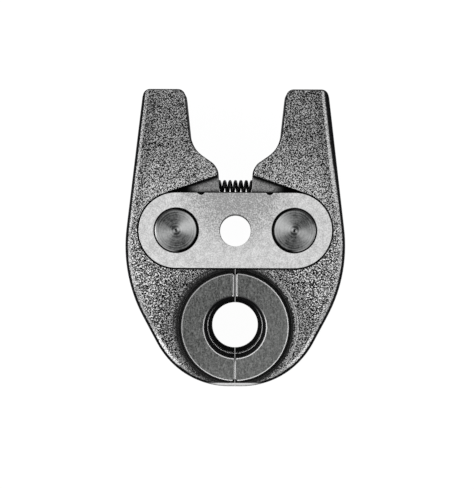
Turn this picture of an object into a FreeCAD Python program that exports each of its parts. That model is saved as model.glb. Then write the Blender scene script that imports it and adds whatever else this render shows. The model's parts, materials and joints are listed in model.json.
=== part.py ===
import FreeCAD, Part
import math
import os
import re
import Sketcher

# Press tongs jaw: two forged levers swing on two pins between two cheek plates.
# Their lower ends carry one half each of a round press bore, and a small coil spring
# between the upper arms keeps the bore closed.
# X runs from the left lever to the right one, Y towards the prongs, Z out of the front face.
# The origin is the middle of the retaining bolt hole, half-way through the part.

os.makedirs("parts", exist_ok=True)
doc = FreeCAD.newDocument("press_tongs_jaw")
Vector = FreeCAD.Vector

SAME_PLACE = 0.001  # millimetres within which two points count as one
UPRIGHT = 0.01  # most that the normal of an upright face leans, as a cosine
SMOOTH = 0.9  # cosine past which two faces meet without an edge

# Driving sizes: name, millimetres or degrees, and what each one is
SIZES = (
    ("pivot_offset", 22.0, "middle of the part to the axis of a pivot pin"),
    ("pin_radius", 8.25, "pivot pin"),
    ("pin_gap", 0.05, "running clearance round a pin"),
    ("pin_proud", 0.65, "pin end above the plate"),
    ("pin_chamfer", 0.8, "bevel at a pin's end"),
    ("pip_radius", 0.6, "lathe centre in a pin's end"),
    ("web_half", 9.2, "half the thickness of a lever between the plates"),
    ("plate_gap", 0.1, "sliding clearance of lever and plate"),
    ("plate_thick", 4.0, "cheek plate"),
    ("plate_round", 14.3, "end radius of a plate, half its height"),
    ("plate_bevel", 0.3, "bevel round a plate's outer face"),
    ("pocket_gap", 0.35, "clearance of a plate in the levers' recess"),
    ("bolt_radius", 6.0, "retaining bolt hole through the plates"),
    ("notch_radius", 1.6, "round notch in a plate's upper edge"),
    ("notch_offset", 12.8, "notch from the middle of the plate"),
    ("notch_rise", 0.5, "middle of a notch's circle above the plate's edge"),
    ("ring_wire", 1.2, "square section of a snap ring"),
    ("ring_gap", 0.1, "clearance of a snap ring in its grooves"),
    ("ring_angle", 330.0, "degrees of the circle that a snap ring covers"),
    ("forged_half", 13.0, "half the thickness of the forging"),
    ("draft_angle", 5.0, "forging draft of the flanks from the parting line, in degrees"),
    ("inner_draft_angle", 1.0, "draft of the prong ends, the roller seat and the arms"),
    ("forged_edge", 2.6, "rounding of the forging's outer edges"),
    ("inner_edge", 0.8, "rounding of the prong ends and the roller seat"),
    ("prong_top", 52.9, "prong ends above the pivots"),
    ("prong_outer", 35.4, "outer corner of a prong's end"),
    ("prong_inner", 18.9, "inner corner of a prong's end"),
    ("prong_inner_round", 3.0, "rounding of the inner corner"),
    ("flank_wide", 43.63, "corner where the two flank lines would meet, sideways"),
    ("flank_drop", 16.9, "the same corner below the pivots"),
    ("flank_round", 57.0, "arc between the flank lines"),
    ("nose_wide", 21.0, "corner of lower flank and nose, sideways"),
    ("nose_drop", 59.2, "flat nose below the pivots"),
    ("nose_round", 31.0, "arc between lower flank and nose"),
    ("seat_wide", 16.55, "corner in the roller seat, sideways"),
    ("seat_high", 31.0, "corner in the roller seat above the pivots"),
    ("seat_round", 12.1, "arc of the roller seat"),
    ("shoulder_wide", 6.6, "shoulder corner, sideways"),
    ("shoulder_high", 24.1, "shoulder corner above the pivots"),
    ("shoulder_round", 5.6, "arc of the shoulder"),
    ("arm_wide", 5.15, "inner face of an upper arm at the pivots' height, sideways"),
    ("split_gap", 0.05, "closed press faces from the middle plane"),
    ("throat_gap", 1.0, "lever from the middle plane between the plates"),
    ("open_angle", 17.0, "swing of each lever, in degrees"),
    ("sweep_angle", 18.85, "slant of the recess above the plate, in degrees"),
    ("bolt_clear", 0.6, "swung lever to the bolt hole"),
    ("press_drop", 35.9, "press bore below the pivots"),
    ("boss_round", 20.0, "round boss of the press bore"),
    ("boss_half", 16.5, "half the height of the boss"),
    ("boss_bevel", 0.45, "bevels of the boss"),
    ("trough_wide", 2.8, "floor of the turned trough round the boss"),
    ("trough_slope", 1.2, "sloping outer side of the trough"),
    ("trough_deep", 0.4, "trough below the forged face"),
    ("trough_root", 1.2, "slope between boss and trough"),
    ("mouth_round", 11.4, "press bore at its mouths"),
    ("mouth_deep", 8.0, "depth of a mouth"),
    ("step_round", 10.2, "press bore between mouth and rib"),
    ("step_cone", 0.8, "length of the cones in the bore"),
    ("rib_round", 8.7, "press rib in the middle of the bore"),
    ("rib_half", 2.0, "half the width of the press rib"),
    ("split_bevel", 0.75, "bevel of the press faces at the boss's ends, above the bore"),
    ("lower_bevel", 0.3, "the same bevel below the bore"),
    ("corner_bevel", 1.1, "bevel of the press faces at the boss's round wall"),
    ("relief_long", 2.4, "length of the relief of the press faces beside a mouth"),
    ("relief_wide", 0.43, "width of that relief at the mouth"),
    ("spring_high", 16.5, "axis of the spring above the pivots"),
    ("spring_wire", 1.1, "wire of the spring"),
    ("spring_mean", 4.7, "coil diameter to the middle of the wire"),
    ("spring_pitch", 2.05, "rise of one coil"),
    ("spring_bore_gap", 0.35, "clearance of the spring in its bores"),
    ("spring_bore_deep", 4.6, "depth of a spring bore"),
    ("spring_end_gap", 0.1, "spring end to the bottom of its bore"),
    ("saw_margin", 4.0, "cutters past the faces that they cut"),
)
NAMES = {alias for alias, size, meaning in SIZES}

sheet = doc.addObject("Spreadsheet::Sheet", "Sizes")
for row, (alias, size, meaning) in enumerate(SIZES, start=1):
    sheet.set(f"A{row}", meaning)
    sheet.set(f"B{row}", str(size))
    sheet.setAlias(f"B{row}", alias)
doc.recompute()


def formula(text):
    """Write a formula in the sheet's names as an expression of the document."""
    return re.sub(r"[a-z_]+", lambda word: f"Sizes.{word[0]}" if word[0] in NAMES else word[0], text)


def value(text):
    """Work a formula out, for the first placing of geometry that constraints then hold."""
    return float(sheet.evalExpression(formula(text)))


# Sizes that follow from others
PIN_BORE = "(pin_radius + pin_gap)"
PLATE_INNER = "(web_half + plate_gap)"
PLATE_OUTER = f"({PLATE_INNER} + plate_thick)"
PIN_HALF = f"({PLATE_OUTER} + pin_proud)"
POCKET_ROUND = "(plate_round + pocket_gap)"
RING_LEVEL = f"({PLATE_INNER} + plate_thick / 2)"
RING_HALF_GROOVE = "(ring_wire / 2 + ring_gap)"
RING_MEAN = "(pin_radius + pin_gap / 2)"
SPRING_BORE = "(spring_mean / 2 + spring_wire / 2 + spring_bore_gap)"
SPRING_HALF = "(shoulder_wide + spring_bore_deep - spring_end_gap)"


def new_body(label):
    """Start a piece whose label names it."""
    body = doc.addObject("PartDesign::Body", label)
    body.Label = label
    return body


def new_sketch(body, name, plane="XY_Plane", offset="0"):
    """Lay a sketch on one of the body's own planes, lifted by a formula."""
    sketch = body.newObject("Sketcher::SketchObject", name)
    support = next(item for item in body.Origin.OriginFeatures if item.Role == plane)
    sketch.AttachmentSupport = (support, [""])
    sketch.MapMode = "FlatFace"
    sketch.setExpression("AttachmentOffset.Base.z", formula(offset))
    return sketch


def origin_item(body, role):
    """Find one of the body's own planes or axes."""
    return next(item for item in body.Origin.OriginFeatures if item.Role == role)


def hold(sketch, shape, point, across, up):
    """Dimension a point of the sketch from its origin."""
    for kind, text, axis in (("DistanceX", across, -2), ("DistanceY", up, -1)):
        distance = value(text)
        if distance == 0:
            sketch.addConstraint(Sketcher.Constraint("PointOnObject", shape, point, axis))
            continue
        ends = (-1, 1, shape, point) if distance > 0 else (shape, point, -1, 1)
        index = sketch.addConstraint(Sketcher.Constraint(kind, *ends, abs(distance)))
        sketch.setExpression(f"Constraints[{index}]", formula(text if distance > 0 else f"-({text})"))


def hold_radius(sketch, shape, text):
    """Dimension the radius of a circle or an arc."""
    index = sketch.addConstraint(Sketcher.Constraint("Radius", shape, value(text)))
    sketch.setExpression(f"Constraints[{index}]", formula(text))


def circle(sketch, across, up, radius):
    """Draw a dimensioned circle."""
    middle = Vector(value(across), value(up), 0)
    shape = sketch.addGeometry(Part.Circle(middle, Vector(0, 0, 1), value(radius)))
    hold(sketch, shape, 3, across, up)
    hold_radius(sketch, shape, radius)


def outline(sketch, corners):
    """Draw a closed outline through dimensioned corners, each one sharp or rounded by a tangent arc."""
    spots = [Vector(value(across), value(up), 0) for across, up, radius in corners]
    count = len(corners)
    ways = [(spots[(i + 1) % count] - spots[i]).normalize() for i in range(count)]
    trims = []
    for i, (across, up, radius) in enumerate(corners):
        turn = ways[i - 1].getAngle(ways[i])
        trims.append(value(radius) * math.tan(turn / 2) if radius else 0.0)
    lines = []
    for i in range(count):
        start = spots[i] + ways[i] * trims[i]
        end = spots[(i + 1) % count] - ways[i] * trims[(i + 1) % count]
        lines.append(sketch.addGeometry(Part.LineSegment(start, end)))
    for i, (across, up, radius) in enumerate(corners):
        before, after = lines[i - 1], lines[i]
        if not radius:
            sketch.addConstraint(Sketcher.Constraint("Coincident", before, 2, after, 1))
            hold(sketch, after, 1, across, up)
            continue
        left = ways[i - 1].cross(ways[i]).z > 0
        side = Vector(-ways[i - 1].y, ways[i - 1].x, 0) * (1 if left else -1)
        middle = spots[i] - ways[i - 1] * trims[i] + side * value(radius)
        ring = Part.Circle(middle, Vector(0, 0, 1), value(radius))
        ends = [spots[i] - ways[i - 1] * trims[i] - middle, spots[i] + ways[i] * trims[i] - middle]
        if not left:
            ends.reverse()
        angles = [math.atan2(end.y, end.x) for end in ends]
        if angles[1] < angles[0]:
            angles[1] += 2 * math.pi
        arc = sketch.addGeometry(Part.ArcOfCircle(ring, angles[0], angles[1]))
        first, last = (1, 2) if left else (2, 1)
        sketch.addConstraint(Sketcher.Constraint("Tangent", before, 2, arc, first))
        sketch.addConstraint(Sketcher.Constraint("Tangent", arc, last, after, 1))
        hold_radius(sketch, arc, radius)
        corner = sketch.addGeometry(Part.Point(spots[i]), True)
        sketch.addConstraint(Sketcher.Constraint("PointOnObject", corner, 1, before))
        sketch.addConstraint(Sketcher.Constraint("PointOnObject", corner, 1, after))
        hold(sketch, corner, 1, across, up)


def turning_axis(sketch, across):
    """Add an upright construction line to turn a profile about."""
    foot = Vector(value(across), 0, 0)
    axis = sketch.addGeometry(Part.LineSegment(foot, foot + Vector(0, 1, 0)), True)
    hold(sketch, axis, 1, across, "0")
    hold(sketch, axis, 2, across, "saw_margin")
    return (sketch, ["Axis0"])


def feature(body, kind, name, profile=None, cuts=None, **settings):
    """Add a feature, with its numbers bound to formulas, and see that a cut really cuts."""
    doc.recompute()
    before = 0.0 if body.Shape.isNull() else body.Shape.Volume
    item = body.newObject(kind, name)
    if profile:
        item.Profile = profile
    for key, setting in settings.items():
        if isinstance(setting, str) and item.getTypeIdOfProperty(key) != "App::PropertyEnumeration":
            item.setExpression(key, formula(setting))
        else:
            setattr(item, key, setting)
    doc.recompute()
    if kind in ("PartDesign::Pocket", "PartDesign::Groove") and item.Shape.Volume >= before:
        raise RuntimeError(f"{name} cuts nothing from {body.Label}")
    return item


def mirrored(body, name, plane, features=()):
    """Repeat features, or the whole shape if none are named, on the other side of one of the body's planes."""
    copy = body.newObject("PartDesign::Mirrored", name)
    copy.TransformMode = "Features" if features else "Whole shape"
    copy.Originals = list(features)
    copy.MirrorPlane = (origin_item(body, plane), [""])
    body.Tip = copy
    doc.recompute()
    return copy


def rim_edges(shape, level, keep):
    """Name the sharp edges that lie at a height above or below the middle plane and that keep() accepts."""
    names = []
    for number, edge in enumerate(shape.Edges, start=1):
        middle = edge.valueAt((edge.FirstParameter + edge.LastParameter) / 2)
        spots = [vertex.Point for vertex in edge.Vertexes] + [middle]
        if any(abs(abs(spot.z) - value(level)) > SAME_PLACE for spot in spots) or not keep(middle):
            continue
        normals = [face.normalAt(*face.Surface.parameter(middle))
                   for face in shape.ancestorsOfType(edge, Part.Face)]
        if len(normals) == 2 and abs(normals[0].dot(normals[1])) < SMOOTH:
            names.append(f"Edge{number}")
    return names


def forging(body):
    """The lever as it leaves the dies: its outline, drafted both ways from the parting line, with soft edges."""
    blank = new_sketch(body, "forging_outline")
    outline(blank, (
        ("prong_inner", "prong_top", "prong_inner_round"),
        ("seat_wide", "seat_high", "seat_round"),
        ("shoulder_wide", "shoulder_high", "shoulder_round"),
        ("arm_wide", "0", ""),
        ("-saw_margin", "0", ""),
        ("-saw_margin", "-nose_drop", ""),
        ("nose_wide", "-nose_drop", "nose_round"),
        ("flank_wide", "-flank_drop", "flank_round"),
        ("prong_outer", "prong_top", ""),
    ))
    half = feature(body, "PartDesign::Pad", "forging_half", blank, Length="forged_half")
    drafted = half
    for name, angle, reach in (("inner_draft", "inner_draft_angle", value("prong_outer")),
                               ("flank_draft", "draft_angle", math.inf)):
        sides = [f"Face{number}" for number, face in enumerate(drafted.Shape.Faces, start=1)
                 if abs(face.normalAt(*face.Surface.parameter(face.CenterOfMass)).z) < UPRIGHT
                 and (reach == math.inf or (face.CenterOfMass.y > SAME_PLACE and face.CenterOfMass.x < reach))]
        drafted = feature(body, "PartDesign::Draft", name, Base=(drafted, sides), Angle=angle,
                          NeutralPlane=(origin_item(body, "XY_Plane"), [""]))
    flank = rim_edges(drafted.Shape, "forged_half", lambda spot: spot.x > value("prong_outer")
                      or (spot.y < -value("flank_drop") and spot.x > value("throat_gap")))
    tip_corner = Vector(value("prong_outer"), value("prong_top"), 0)
    tip = [f"Edge{number}" for number, edge in enumerate(drafted.Shape.Edges, start=1)
           if min(end.Point.distanceToPoint(tip_corner) for end in edge.Vertexes) < SAME_PLACE
           and abs(edge.Vertexes[0].Z - edge.Vertexes[-1].Z) > SAME_PLACE]
    rounded = feature(body, "PartDesign::Fillet", "forged_edges", Base=(drafted, flank + tip),
                      Radius="forged_edge")
    inner = rim_edges(rounded.Shape, "forged_half", lambda spot: spot.y > 0 and spot.x < value("prong_outer"))
    feature(body, "PartDesign::Fillet", "inner_edges", Base=(rounded, inner), Radius="inner_edge")
    mirrored(body, "forging", "XY_Plane")


def press_boss(body):
    """The round boss of the press bore, proud of the forging inside a turned trough."""
    boss = new_sketch(body, "boss_outline")
    circle(boss, "0", "-press_drop", "boss_round + trough_wide / 2")
    feature(body, "PartDesign::Pad", "boss", boss, SideType="Symmetric", Length="2 * boss_half")

    trough = new_sketch(body, "trough_profile", "YZ_Plane")
    outline(trough, (
        ("-press_drop + boss_round - boss_bevel", "boss_half", ""),
        ("-press_drop + boss_round", "boss_half - boss_bevel", ""),
        ("-press_drop + boss_round", "forged_half - trough_deep + trough_root", ""),
        ("-press_drop + boss_round + trough_root", "forged_half - trough_deep", ""),
        ("-press_drop + boss_round + trough_wide", "forged_half - trough_deep", ""),
        ("-press_drop + boss_round + trough_wide + trough_slope", "forged_half + trough_deep", ""),
        ("-press_drop + boss_round + trough_wide + trough_slope", "boss_half + saw_margin", ""),
        ("-press_drop + boss_round - boss_bevel", "boss_half + saw_margin", ""),
    ))
    trough_cut = feature(body, "PartDesign::Groove", "trough", trough, Angle=360.0,
                         ReferenceAxis=turning_axis(trough, "-press_drop"))
    mirrored(body, "trough_behind", "XY_Plane", [trough_cut])


def split_faces(body):
    """Part the lever from its twin, with a wider throat between the plates."""
    split = new_sketch(body, "split_outline")
    outline(split, (
        ("-2 * boss_round", "-nose_drop - saw_margin", ""),
        ("split_gap", "-nose_drop - saw_margin", ""),
        ("split_gap", "-plate_round + throat_gap", ""),
        ("throat_gap", "-plate_round + 2 * throat_gap", ""),
        ("throat_gap", "bolt_radius", ""),
        ("-2 * boss_round", "bolt_radius", ""),
    ))
    feature(body, "PartDesign::Pocket", "split", split, SideType="Symmetric", Type="ThroughAll")


def plate_recess(body):
    """Thin the lever between the plates, round the pin and over the sweep of the plate as the lever swings."""
    seat = new_sketch(body, "plate_seat_outline", offset="web_half")
    circle(seat, "pivot_offset", "0", POCKET_ROUND)
    seat_cut = feature(body, "PartDesign::Pocket", "plate_seat", seat, Type="ThroughAll", Reversed=True)
    foot_x = f"(pivot_offset + {POCKET_ROUND} * sin(sweep_angle * 1deg))"
    foot_y = f"({POCKET_ROUND} * cos(sweep_angle * 1deg))"
    sweep = new_sketch(body, "sweep_outline", offset="web_half")
    outline(sweep, (
        ("pivot_offset", f"-{POCKET_ROUND}", ""),
        (foot_x, foot_y, ""),
        ("-saw_margin", f"{foot_y} + ({foot_x} + saw_margin) * tan(sweep_angle * 1deg)", ""),
        ("-saw_margin", f"-{POCKET_ROUND}", ""),
    ))
    sweep_cut = feature(body, "PartDesign::Pocket", "sweep", sweep, Type="ThroughAll", Reversed=True)
    mirrored(body, "plate_seat_behind", "XY_Plane", [seat_cut, sweep_cut])


def bolt_way(body):
    """Clear the lever round the retaining bolt over its whole swing, with a slot bent about the pin."""
    way = "(bolt_radius + bolt_clear)"
    radius = value(way)
    pin = Vector(value("pivot_offset"), 0, 0)
    swing = math.radians(value("open_angle"))
    swung = pin + Vector(-math.cos(swing), math.sin(swing), 0) * pin.x
    sketch = new_sketch(body, "bolt_way_outline")

    def arc(middle, size, start, end):
        ring = Part.Circle(middle, Vector(0, 0, 1), size)
        return sketch.addGeometry(Part.ArcOfCircle(ring, start, end))

    far = arc(pin, pin.x + radius, math.pi - swing, math.pi)
    near = arc(pin, pin.x - radius, math.pi - swing, math.pi)
    lower = arc(Vector(0, 0, 0), radius, math.pi, 2 * math.pi)
    upper = arc(swung, radius, -swing, math.pi - swing)
    hold(sketch, far, 3, "pivot_offset", "0")
    sketch.addConstraint(Sketcher.Constraint("Coincident", near, 3, far, 3))
    sketch.addConstraint(Sketcher.Constraint("Coincident", lower, 3, -1, 1))
    for one, one_end, other, other_end in ((far, 2, lower, 1), (lower, 2, near, 2),
                                           (near, 1, upper, 1), (upper, 2, far, 1)):
        sketch.addConstraint(Sketcher.Constraint("Tangent", one, one_end, other, other_end))
    hold_radius(sketch, lower, way)
    index = sketch.addConstraint(Sketcher.Constraint("DistanceY", -1, 1, upper, 3, swung.y))
    sketch.setExpression(f"Constraints[{index}]", formula("pivot_offset * sin(open_angle * 1deg)"))
    feature(body, "PartDesign::Pocket", "bolt_way", sketch, SideType="Symmetric", Type="ThroughAll")


def press_bore(body):
    """The stepped bore with its rib, and the bevels of the press faces where they meet bore and boss."""
    press = new_sketch(body, "press_bore_profile", "YZ_Plane")
    mouth_start = "boss_half - mouth_deep"
    outline(press, (
        ("-press_drop", "boss_half + saw_margin", ""),
        ("-press_drop", "-boss_half - saw_margin", ""),
        ("-press_drop + mouth_round + boss_bevel + saw_margin", "-boss_half - saw_margin", ""),
        ("-press_drop + mouth_round", "-boss_half + boss_bevel", ""),
        ("-press_drop + mouth_round", f"-({mouth_start})", ""),
        ("-press_drop + step_round", f"-({mouth_start}) + step_cone", ""),
        ("-press_drop + step_round", "-rib_half - step_cone", ""),
        ("-press_drop + rib_round", "-rib_half", ""),
        ("-press_drop + rib_round", "rib_half", ""),
        ("-press_drop + step_round", "rib_half + step_cone", ""),
        ("-press_drop + step_round", f"({mouth_start}) - step_cone", ""),
        ("-press_drop + mouth_round", f"({mouth_start})", ""),
        ("-press_drop + mouth_round", "boss_half - boss_bevel", ""),
        ("-press_drop + mouth_round + boss_bevel + saw_margin", "boss_half + saw_margin", ""),
    ))
    feature(body, "PartDesign::Groove", "press_bore", press, Angle=360.0,
            ReferenceAxis=turning_axis(press, "-press_drop"))

    bevel_cuts = []
    for size, below in (("split_bevel", False), ("lower_bevel", True)):
        bevel = new_sketch(body, f"{size}_profile", "XZ_Plane", offset="press_drop")
        outline(bevel, (
            ("-saw_margin", "boss_half + saw_margin", ""),
            ("-saw_margin", f"boss_half - {size} - saw_margin", ""),
            (f"split_gap + {size} + saw_margin", "boss_half + saw_margin", ""),
        ))
        bevel_cuts.append(feature(body, "PartDesign::Pocket", f"{size}_cut", bevel, Type="ThroughAll",
                                  Reversed=below))
    mirrored(body, "split_bevels_behind", "XY_Plane", bevel_cuts)
    corner = new_sketch(body, "corner_bevel_outline", offset="forged_half - trough_deep")
    for end in ("", "-"):
        outline(corner, (
            ("-saw_margin", f"-press_drop + {end}(boss_round - corner_bevel)", ""),
            ("split_gap", f"-press_drop + {end}(boss_round - corner_bevel)", ""),
            ("split_gap + corner_bevel + saw_margin", f"-press_drop + {end}(boss_round + saw_margin)", ""),
            ("-saw_margin", f"-press_drop + {end}(boss_round + saw_margin)", ""),
        ))
    corner_cut = feature(body, "PartDesign::Pocket", "corner_bevels", corner, Type="ThroughAll", Reversed=True)
    relief = new_sketch(body, "relief_outline", offset="boss_half - mouth_deep")
    outline(relief, (
        ("-saw_margin", "-press_drop - mouth_round - relief_long", ""),
        ("split_gap", "-press_drop - mouth_round - relief_long", ""),
        ("split_gap + relief_wide", "-press_drop - mouth_round", ""),
        ("split_gap + relief_wide", "-press_drop + mouth_round", ""),
        ("split_gap", "-press_drop + mouth_round + relief_long", ""),
        ("-saw_margin", "-press_drop + mouth_round + relief_long", ""),
    ))
    relief_cut = feature(body, "PartDesign::Pocket", "mouth_reliefs", relief, Type="ThroughAll", Reversed=True)
    mirrored(body, "corners_behind", "XY_Plane", [corner_cut, relief_cut])


def forged_lever(label):
    """The right-hand lever: the forging with its machined recesses, bores and press boss."""
    body = new_body(label)
    forging(body)
    press_boss(body)
    split_faces(body)
    plate_recess(body)
    bore = new_sketch(body, "pin_bore_outline")
    circle(bore, "pivot_offset", "0", PIN_BORE)
    feature(body, "PartDesign::Pocket", "pin_bore", bore, SideType="Symmetric", Type="ThroughAll")
    bolt_way(body)
    press_bore(body)
    spring_seat = new_sketch(body, "spring_bore_outline", "YZ_Plane", offset="shoulder_wide - saw_margin")
    circle(spring_seat, "spring_high", "0", SPRING_BORE)
    feature(body, "PartDesign::Pocket", "spring_bore", spring_seat, Reversed=True,
            Length="spring_bore_deep + saw_margin")
    return body


def cheek_plate(label, side):
    """A stadium plate with its pin holes, bolt hole and notches; side is 1 in front and -1 behind."""
    body = new_body(label)
    sketch = new_sketch(body, "plate_outline")
    middle_x = value("pivot_offset")
    radius = value("plate_round")
    top = sketch.addGeometry(Part.LineSegment(Vector(middle_x, radius, 0), Vector(-middle_x, radius, 0)))
    left = sketch.addGeometry(Part.ArcOfCircle(Part.Circle(Vector(-middle_x, 0, 0), Vector(0, 0, 1), radius),
                                               math.pi / 2, 3 * math.pi / 2))
    low = sketch.addGeometry(Part.LineSegment(Vector(-middle_x, -radius, 0), Vector(middle_x, -radius, 0)))
    right = sketch.addGeometry(Part.ArcOfCircle(Part.Circle(Vector(middle_x, 0, 0), Vector(0, 0, 1), radius),
                                                -math.pi / 2, math.pi / 2))
    for one, one_end, other, other_end in ((top, 2, left, 1), (left, 2, low, 1),
                                           (low, 2, right, 1), (right, 2, top, 1)):
        sketch.addConstraint(Sketcher.Constraint("Tangent", one, one_end, other, other_end))
    hold(sketch, right, 3, "pivot_offset", "0")
    hold(sketch, left, 3, "-pivot_offset", "0")
    hold_radius(sketch, left, "plate_round")
    pad = feature(body, "PartDesign::Pad", "plate", sketch, Length="plate_thick")
    rim = rim_edges(pad.Shape, "plate_thick", lambda spot: True)
    feature(body, "PartDesign::Chamfer", "plate_bevels", Base=(pad, rim), Size="plate_bevel")

    holes = new_sketch(body, "hole_outlines")
    circle(holes, "-pivot_offset", "0", PIN_BORE)
    circle(holes, "pivot_offset", "0", PIN_BORE)
    circle(holes, "0", "0", "bolt_radius")
    circle(holes, "-notch_offset", "plate_round + notch_rise", "notch_radius")
    circle(holes, "notch_offset", "plate_round + notch_rise", "notch_radius")
    feature(body, "PartDesign::Pocket", "holes", holes, SideType="Symmetric", Type="ThroughAll")

    groove = new_sketch(body, "ring_groove_profile", "XZ_Plane")
    reach = f"pivot_offset + {RING_MEAN} + {RING_HALF_GROOVE}"
    low_side = f"plate_thick / 2 - {RING_HALF_GROOVE}"
    high_side = f"plate_thick / 2 + {RING_HALF_GROOVE}"
    outline(groove, (
        (f"pivot_offset + {RING_MEAN} - {RING_HALF_GROOVE}", low_side, ""),
        (reach, low_side, ""),
        (reach, high_side, ""),
        (f"pivot_offset + {RING_MEAN} - {RING_HALF_GROOVE}", high_side, ""),
    ))
    groove_cut = feature(body, "PartDesign::Groove", "ring_groove", groove, Angle=360.0,
                         ReferenceAxis=turning_axis(groove, "pivot_offset"))
    mirrored(body, "ring_groove_left", "YZ_Plane", [groove_cut])

    turn = 0 if side > 0 else 180
    body.Placement = FreeCAD.Placement(Vector(0, 0, 0), FreeCAD.Rotation(Vector(0, 1, 0), turn))
    body.setExpression("Placement.Base.z", formula(PLATE_INNER if side > 0 else f"-{PLATE_INNER}"))
    return body


def pivot_pin(label, side):
    """A turned pin with bevelled ends, lathe centres and two grooves for snap rings."""
    body = new_body(label)
    profile = new_sketch(body, "pin_profile", "XZ_Plane")
    half = [
        ("0", f"{PIN_HALF} - pip_radius"),
        ("pip_radius", PIN_HALF),
        ("pin_radius - pin_chamfer", PIN_HALF),
        ("pin_radius", f"{PIN_HALF} - pin_chamfer"),
        ("pin_radius", f"{RING_LEVEL} + {RING_HALF_GROOVE}"),
        (f"{RING_MEAN} - {RING_HALF_GROOVE}", f"{RING_LEVEL} + {RING_HALF_GROOVE}"),
        (f"{RING_MEAN} - {RING_HALF_GROOVE}", f"{RING_LEVEL} - {RING_HALF_GROOVE}"),
        ("pin_radius", f"{RING_LEVEL} - {RING_HALF_GROOVE}"),
    ]
    other_half = [(across, f"-({up})") for across, up in reversed(half)]
    outline(profile, [(across, up, "") for across, up in half + other_half])
    feature(body, "PartDesign::Revolution", "pin", profile, Angle=360.0,
            ReferenceAxis=(origin_item(body, "Z_Axis"), [""]))
    body.setExpression("Placement.Base.x", formula(f"{side} * pivot_offset"))
    return body


def snap_ring(label, side, face):
    """A split ring of square section, half in the pin's groove and half in the plate's."""
    body = new_body(label)
    section = new_sketch(body, "ring_section", "XZ_Plane")
    outline(section, (
        (f"{RING_MEAN} - ring_wire / 2", "-ring_wire / 2", ""),
        (f"{RING_MEAN} + ring_wire / 2", "-ring_wire / 2", ""),
        (f"{RING_MEAN} + ring_wire / 2", "ring_wire / 2", ""),
        (f"{RING_MEAN} - ring_wire / 2", "ring_wire / 2", ""),
    ))
    feature(body, "PartDesign::Revolution", "ring", section, Angle="ring_angle",
            ReferenceAxis=(origin_item(body, "Z_Axis"), [""]))
    body.setExpression("Placement.Base.x", formula(f"{side} * pivot_offset"))
    body.setExpression("Placement.Base.z", formula(f"{face} * {RING_LEVEL}"))
    return body


def coil_spring(label):
    """The compression spring, wound about X and ground flat at both ends.

    Its wire has six sides and the round wire's area.
    """
    body = new_body(label)
    wire = new_sketch(body, "wire_section")
    reach = "sqrt(pi / (6 * sin(60deg) * 2)) * spring_wire"
    outline(wire, [(f"{reach} * cos({turn}deg) - {SPRING_HALF}", f"{reach} * sin({turn}deg) + spring_mean / 2", "")
                   for turn in range(0, 360, 60)])
    feature(body, "PartDesign::AdditiveHelix", "coils", wire, Mode="pitch-height-angle",
            Pitch="spring_pitch", Height=f"2 * {SPRING_HALF}",
            ReferenceAxis=(origin_item(body, "X_Axis"), [""]))
    for end, name in ((1, "right"), (-1, "left")):
        face = new_sketch(body, f"ground_{name}_outline", "YZ_Plane", offset=f"{end} * {SPRING_HALF}")
        circle(face, "0", "0", "spring_mean")
        feature(body, "PartDesign::Pocket", f"ground_{name}", face, Reversed=end > 0, Length="saw_margin")
    body.setExpression("Placement.Base.y", formula("spring_high"))
    return body


pieces = [forged_lever("right_jaw")]
twin = doc.addObject("Part::Mirroring", "left_jaw")
twin.Label = "left_jaw"
twin.Source = pieces[0]
twin.Normal = Vector(1, 0, 0)
pieces.append(twin)
pieces.append(cheek_plate("front_plate", 1))
pieces.append(cheek_plate("rear_plate", -1))
for side, side_name in ((-1, "left"), (1, "right")):
    pieces.append(pivot_pin(f"{side_name}_pin", side))
    for face, face_name in ((1, "front"), (-1, "rear")):
        pieces.append(snap_ring(f"{side_name}_{face_name}_snap_ring", side, face))
pieces.append(coil_spring("closing_spring"))
doc.recompute()

for item in doc.Objects:
    if "Invalid" in item.State or "Error" in item.State:
        raise RuntimeError(f"{item.Name} failed: {item.State}")
for piece in pieces:
    if piece.Shape.isNull() or not piece.Shape.isValid() or len(piece.Shape.Solids) != 1:
        raise RuntimeError(f"{piece.Label} is not one valid solid")
    piece.Shape.exportStep(f"parts/{piece.Label}.step")
    print(f"{piece.Label}: {piece.Shape.Volume:.1f} mm3")
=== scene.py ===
# %% [markdown]
# # A press tongs jaw, dressed in Blender
#
# Two forged levers swing on two turned pins between a pair of cheek plates. A small coil
# spring pushes the upper arms apart, which keeps the round press bore below them closed.
# The CAD model brings every solid to its true size. This notebook gives the solids their
# finishes, winds the spring, and sets up the studio.

# %% Load the CAD model
import json
import math
from types import SimpleNamespace

import bpy
from mathutils import Matrix, Vector


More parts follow.
